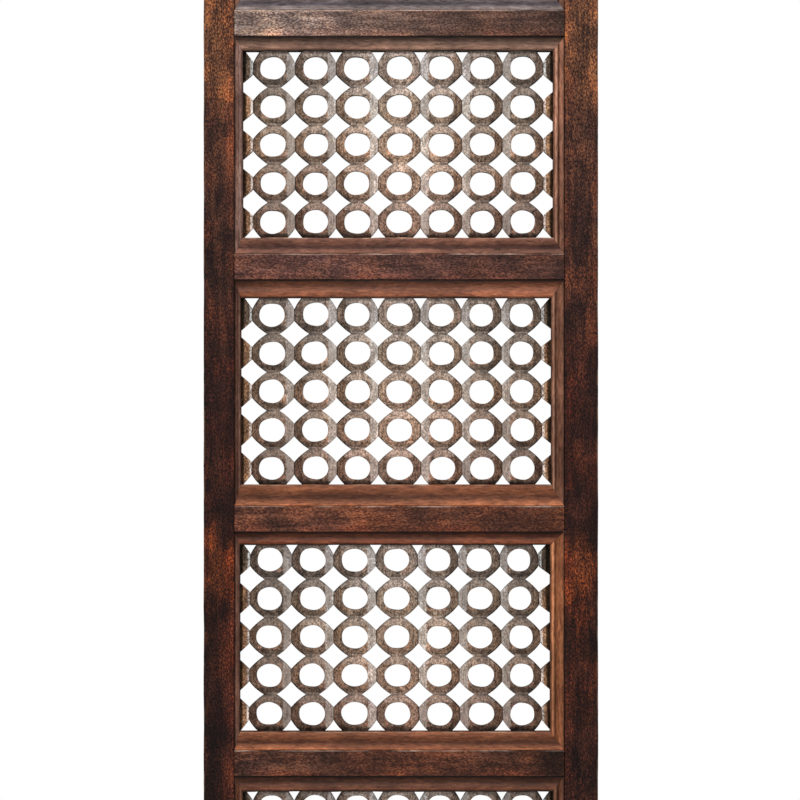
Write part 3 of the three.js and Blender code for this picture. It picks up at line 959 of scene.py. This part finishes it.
def lattice_shade(world, local, column, middle_z, seed):
    """Painted highlights on the bevels that face the panel's middle and on the upper bevels, painted
    light near the middle, and painted shade, also browner, on the other bevels, in the walls and the
    valleys, between the strips, under the head and above the sill; darker along the outer rims, and pale
    flecks of wear and painted highlight. local is each point's place from its ring's centre."""
    outward = np.sign(column - (COLUMNS + 1) / 2)
    facing = np.sign(local[:, 0])
    on_side, upper, lower = bevel_masks(local)
    on_end = upper + lower
    inner = on_side * (facing == -outward)
    outer = on_side * (facing == outward)
    # How near the panel's middle, where the painted light is strongest.
    centre = np.exp(-((world[:, 0] / MIDDLE_LIGHT_REACH) ** 2))
    height = (world[:, 2] - middle_z) / LATTICE_HALF_HEIGHT
    mottle = mottling(world, 1.2, 14 * MM, seed, 6)
    # Patches in the painted shade.
    shade_patches = mottling(world, 1.6, 9 * MM, seed, 7)
    tint = np.ones((len(world), 3)) * (0.86 + 0.22 * mottle)[:, None]

    foot_side = smoothstep(-local[:, 2], -6 * MM, 6 * MM)
    on_flats = 1 - np.clip(on_side + on_end, 0, 1)
    warm = on_flats * smoothstep(mottle, 0.2, 0.8) * (0.35 + 0.65 * foot_side)
    tint += warm[:, None] * WARM_FLATS
    # Painted highlight on the bevels that face the panel's middle, paler towards the outline and weaker
    # on the outermost strips.
    near_line = 1 + 0.35 * smoothstep(OUTLINE_SHARES, 0.6, 0.9)
    highlight_strength = WEAKER_HIGHLIGHT_STRIPS.get(column, 1)
    inner_highlight = inner * highlight_strength * (0.7 + 0.5 * mottle) * (0.9 + 0.35 * centre) * near_line
    tint += inner_highlight[:, None] * INNER_BEVEL_HIGHLIGHT
    # Painted highlight on the upper bevels, strongest near the panel's middle.
    tint += (upper * (0.08 + 0.97 * centre))[:, None] * UPPER_BEVEL_HIGHLIGHT
    # Painted highlight on both side bevels of the middle strip.
    if outward == 0:
        tint += (on_side * 0.25)[:, None]
    # Painted shade on the bevels that face away from the middle, also browner.
    tint *= 1 - (outer * (0.2 - 0.2 * centre) * (0.4 + 0.9 * shade_patches))[:, None]
    tint *= 1 + outer[:, None] * AWAY_BEVEL_SHADE
    # Painted shade on the foot bevels away from the middle, and painted light on them near it.
    tint *= 1 - (lower * (0.55 - 1.25 * centre) * shade_patches)[:, None]

    # Painted shade on each ring's outer, lower part, near the panel's middle.
    outer_foot = smoothstep(local[:, 0] * outward, 8 * MM, 12 * MM)
    outer_foot *= smoothstep(-local[:, 2], 8 * MM, 12 * MM)
    tint *= 1 - (0.3 * outer_foot * smoothstep(centre, 0.1, 0.35))[:, None]
    # Painted light, brightest near the panel's middle.
    tint *= (0.95 + 0.42 * centre)[:, None]
    tint *= tone_at(height, LATTICE_HEIGHTS, LATTICE_TONES)
    # Painted shade on the lowest rings above the sill.
    shade_above_sill = smoothstep(-height, 0.91, 0.96) * (0.3 + 0.35 * shade_patches)
    tint *= 1 - shade_above_sill[:, None]
    # Painted shade in the crease where two rings' end bevels meet.
    tint *= 1 - 0.42 * on_end[:, None] * hump(local[:, 2], -VALLEY_Z, 0.9 * MM)

    meets_next = np.abs(local[:, 2]) < CONTACT_HEIGHT / 2 + 0.3 * MM
    rim_depth = np.where(facing == outward, 0.7, 0.15) if outward else 0.4
    tint *= 1 - (rim_depth * smoothstep(OUTLINE_SHARES, 0.82, 0.88) * ~meets_next)[:, None]
    # Painted shade in the gaps between strips, along the ring's edge that faces away from the middle.
    at_half_strip = column == (COLUMNS if outward > 0 else 1)
    gap_shaded = meets_next & ((facing == outward) | (outward == 0)) & (not at_half_strip)
    gap_shade_depth = 0.97 if column in DEEPER_GAP_SHADE_STRIPS else 0.87
    tint *= 1 - (gap_shaded * gap_shade_depth * smoothstep(OUTLINE_SHARES, 0.9, 0.95))[:, None]
    # Painted shade on the walls and the back.
    tint *= np.where(ON_FRONT, 1.0, 0.3)[:, None]
    # Pale flecks: some wear, and a painted highlight on the bevels that face the middle and on the upper
    # ones.
    wear_and_highlight = np.where(ON_FRONT, 0.1 * mottle + 0.6 * inner + 0.2 * upper, 0)
    return tint, wear_and_highlight


HALF_STATIONS = 124
HALF_SHARES = np.array([0, 0.02, 0.1, 0.16, 0.22, 0.3, 0.38, 0.46, 0.54, 0.64, 0.78, 0.9, 1.0])
HIDDEN_SHARES = 2
LIP_CLEARANCE = 0.15 * MM
HALF_STRIP_BROWN = np.array([1.5, 1.17, 0.88])
HALF_STRIP_HEAD_SHADE = np.array([0.6, 0.5, 0.38])
HALF_STRIP_EDGE_HIGHLIGHT = np.array([1.9, 3.0, 4.4])


def half_strip_drop(distance, lip):
    """How far a half strip's front lies below its face, by the distance from its flats. lip is where
    the moulding's lip crosses it."""
    places = (0, 2.8 * MM, lip - 4.2 * MM, lip)
    drops = (3.4 * MM, 1.3 * MM, 0.7 * MM, 5.2 * MM)
    return np.interp(distance, places, drops)


def half_strip_notch(heights, lip):
    """How deep the notches between a half strip's flats are, by height above its middle."""
    from_centre = np.abs((heights + RING_PITCH_Z / 2) % RING_PITCH_Z - RING_PITCH_Z / 2)
    beyond = np.clip(from_centre - CONTACT_HEIGHT / 2, 0, None)
    end_rings = RING_PITCH_Z * (ROWS - 1) / 2
    depth = np.where(heights > end_rings, HEAD_NOTCH_DEPTH, (RING_PITCH_X - NECK_WIDTH) / 2)
    depth = np.where(heights < -end_rings, FOOT_NOTCH_DEPTH, depth)
    return np.minimum(beyond * depth / ((RING_PITCH_Z - CONTACT_HEIGHT) / 2), lip + NOTCH_PAST_LIP)


def half_strip_shade(points, world, front, lip, seed):
    """Brown wood with painted shade at the head, a painted highlight on the bevel along the flats, a band
    of painted shade at the lip and the back darker.
    """
    distance = np.abs(points[:, 0])
    mottle = mottling(world, 1.2, 16 * MM, seed, 6)
    # Painted shade under the head's lip.
    head_shade = smoothstep(points[:, 2], RING_PITCH_Z * 1.5, RING_PITCH_Z * 1.8)
    # Painted highlight on the steep bevel along the flats, which faces the panel's middle.
    edge = (1 - smoothstep(distance, 2.6 * MM, 3.2 * MM)) * front
    tint = (0.8 + 0.4 * mottle)[:, None] * HALF_STRIP_BROWN
    tint *= 1 - head_shade[:, None] * HALF_STRIP_HEAD_SHADE
    tint += edge[:, None] * HALF_STRIP_EDGE_HIGHLIGHT
    # Painted shade in a band at the lip.
    tint *= (1 - 0.76 * smoothstep(distance, lip - 4.8 * MM, lip - 3.6 * MM))[:, None]
    # Painted shade on the back and the walls.
    tint *= np.where(front, 1.0, 0.4)[:, None]
    return tint


def half_strip(cell, word, sign):
    """The narrow strip at one side, notched like the rings beside it and held in the groove. sign is
    -1 at the left and 1 at the right."""
    node = f"cell_{cell}_half_strip_{word}"
    low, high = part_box(node)
    edge_x = low.x if sign > 0 else high.x
    width = high.x - low.x
    thickness = high.y - low.y
    middle_z = (low.z + high.z) / 2
    lip = width + LIP_CLEARANCE - ENGAGEMENT - sign * LATTICE_SHIFTS[cell]
    heights = np.linspace(low.z - middle_z, high.z - middle_z, HALF_STATIONS)
    stations = []
    for height, start in zip(heights, half_strip_notch(heights, lip)):
        across = start + (width - start) * HALF_SHARES
        level = np.full(len(across), height)
        rim = np.where(HALF_SHARES == 0, RIM_WEAR, 0)
        front = np.column_stack([across, half_strip_drop(across, lip) + rim, level])
        back = np.column_stack([across[::-1], np.full(len(across), thickness), level])
        middle = (front[:1] + back[-1:]) / 2
        stations.append(np.vstack([front, back, middle]))
    count = len(stations[0])
    points = np.vstack(stations)
    points[:, 0] *= sign
    index = np.tile(np.arange(count), HALF_STATIONS)
    front = index < len(HALF_SHARES)
    visible = index < len(HALF_SHARES) - HIDDEN_SHARES
    world = points + np.array((edge_x, low.y, middle_z))
    line_shift = LINE_SHIFTS[cell][-1 if sign > 0 else 0] * MM
    line_shift += leaning(cell, edge_x, points[:, 2])
    world[:, 0] += line_shift * (1 - np.abs(points[:, 0]) / width)
    world[:, 2] -= LATTICE_DROPS[cell] * MM
    seed = 1000 * cell + 50 + sign
    rough = unevenness(world, CARVED, seed)
    world[:, 1] += np.where(visible, CARVING_ROUGHNESS * (rough + CARVED_LOSS), 0)
    return make_piece(
        f"cell_{cell}_{word}_half_ring_strip", world, bar_faces(HALF_STATIONS, count, sign < 0), node,
        LATTICE, grain_coordinates(world, "z", seed, 5),
        half_strip_shade(points, world, front, lip, seed), np.zeros(len(world)),
    )


def lattice(cell):
    """Seven ring strips between two half strips."""
    half_strip(cell, "left", -1)
    for column in range(1, COLUMNS + 1):
        ring_strip(cell, column)
    half_strip(cell, "right", 1)


outer_frame()
for cell in range(1, CELLS + 1):
    mouldings(cell)
    lattice(cell)


# Photograph: the panel's middle, the top of the second rail and the scale, in pixels of 800.
PHOTO_SIZE = 800
PHOTO_PANEL_MIDDLE = 400.9
PHOTO_RAIL_2_TOP = 9.7
PHOTO_MM_PER_PIXEL = 508.2 / 394.7
CAMERA_DISTANCE = 4.5
SENSOR = 36.0

# The studio, in metres from the panel's face and from the picture's middle.
WHITE = (1, 1, 1, 1)
SURROUNDING_STRENGTH = 0.55
BACKDROP_STRENGTH = 1.0
HIGH_LIGHT_OFFSET = (0, -1.1, 1.5)
HIGH_LIGHT_SIZE = (1.6, 0.7)
HIGH_LIGHT_POWER = 26
NEAR_LIGHT_OFFSET = (0, -0.55, 0)
NEAR_LIGHT_SIZE = (0.12, 1.4)
NEAR_LIGHT_POWER = 2.2
FLOOR_RADIUS = 1.0
FLOOR_SIDES = 96
FLOOR_GAP = 1 * MM


def camera():
    """Square to the panel at the photograph's framing."""
    pixel = PHOTO_MM_PER_PIXEL * MM
    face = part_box("left_stile")[0].y
    rail_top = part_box("rail_2")[1].z
    data = bpy.data.cameras.new("camera")
    data.sensor_width = SENSOR
    data.lens = SENSOR * CAMERA_DISTANCE / (PHOTO_SIZE * pixel)
    view = bpy.data.objects.new("camera", data)
    middle = PHOTO_SIZE / 2
    panel_middle = (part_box("left_stile")[0].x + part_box("right_stile")[1].x) / 2
    x = panel_middle + (middle - PHOTO_PANEL_MIDDLE) * pixel
    z = rail_top - (middle - PHOTO_RAIL_2_TOP) * pixel
    view.location = (x, face - CAMERA_DISTANCE, z)
    view.rotation_euler = (math.radians(90), 0, 0)
    bpy.context.scene.collection.objects.link(view)
    bpy.context.scene.camera = view
    return view.location


def area_light(name, target, offset, size, power):
    """A soft light at that offset from the target, which it shines at."""
    data = bpy.data.lights.new(name, "AREA")
    data.shape = "RECTANGLE"
    data.size, data.size_y = size
    data.energy = power
    light = bpy.data.objects.new(name, data)
    light.location = target + Vector(offset)
    light.rotation_euler = (-Vector(offset)).to_track_quat("-Z", "Y").to_euler()
    light.visible_camera = False
    bpy.context.scene.collection.objects.link(light)


def studio(eye):
    """White surroundings, a soft light from above in front, and a narrow one before the middle."""
    world = bpy.data.worlds.new("surroundings")
    bpy.context.scene.world = world
    world.use_nodes = True
    nodes = world.node_tree.nodes
    links = world.node_tree.links
    ambient = nodes["Background"]
    ambient.inputs["Color"].default_value = WHITE
    ambient.inputs["Strength"].default_value = SURROUNDING_STRENGTH
    backdrop = nodes.new("ShaderNodeBackground")
    backdrop.inputs["Color"].default_value = WHITE
    backdrop.inputs["Strength"].default_value = BACKDROP_STRENGTH
    path = nodes.new("ShaderNodeLightPath")
    mix = nodes.new("ShaderNodeMixShader")
    links.new(path.outputs["Is Camera Ray"], mix.inputs["Fac"])
    links.new(ambient.outputs["Background"], mix.inputs[1])
    links.new(backdrop.outputs["Background"], mix.inputs[2])
    links.new(mix.outputs["Shader"], nodes["World Output"].inputs["Surface"])
    target = Vector((0, 0, eye[2]))
    area_light("key", target, HIGH_LIGHT_OFFSET, HIGH_LIGHT_SIZE, HIGH_LIGHT_POWER)
    area_light("middle", target, NEAR_LIGHT_OFFSET, NEAR_LIGHT_SIZE, NEAR_LIGHT_POWER)
    bpy.context.scene.view_settings.view_transform = "Standard"


def floor():
    """A pale round floor under the panel's lower end."""
    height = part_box("bottom_rail")[0].z - FLOOR_GAP
    material = Shader("pale_floor")
    speckle = material.noise(material.add("ShaderNodeTexCoord").outputs["Object"], 40, detail=2)
    colour = material.ramp(speckle, [(0.3, grey(0.76)), (0.7, grey(0.84))])
    material.set(material.surface.inputs["Base Color"], colour)
    material.surface.inputs["Roughness"].default_value = 0.8
    angles = np.arange(FLOOR_SIDES) * 2 * math.pi / FLOOR_SIDES
    flat = np.full(FLOOR_SIDES, height)
    points = np.column_stack([FLOOR_RADIUS * np.cos(angles), FLOOR_RADIUS * np.sin(angles), flat])
    mesh = bpy.data.meshes.new("floor")
    mesh.from_pydata(points.tolist(), [], [tuple(range(FLOOR_SIDES))])
    mesh.materials.append(material.material)
    disc = bpy.data.objects.new("floor", mesh)
    bpy.context.scene.collection.objects.link(disc)


eye = camera()
studio(eye)
floor()
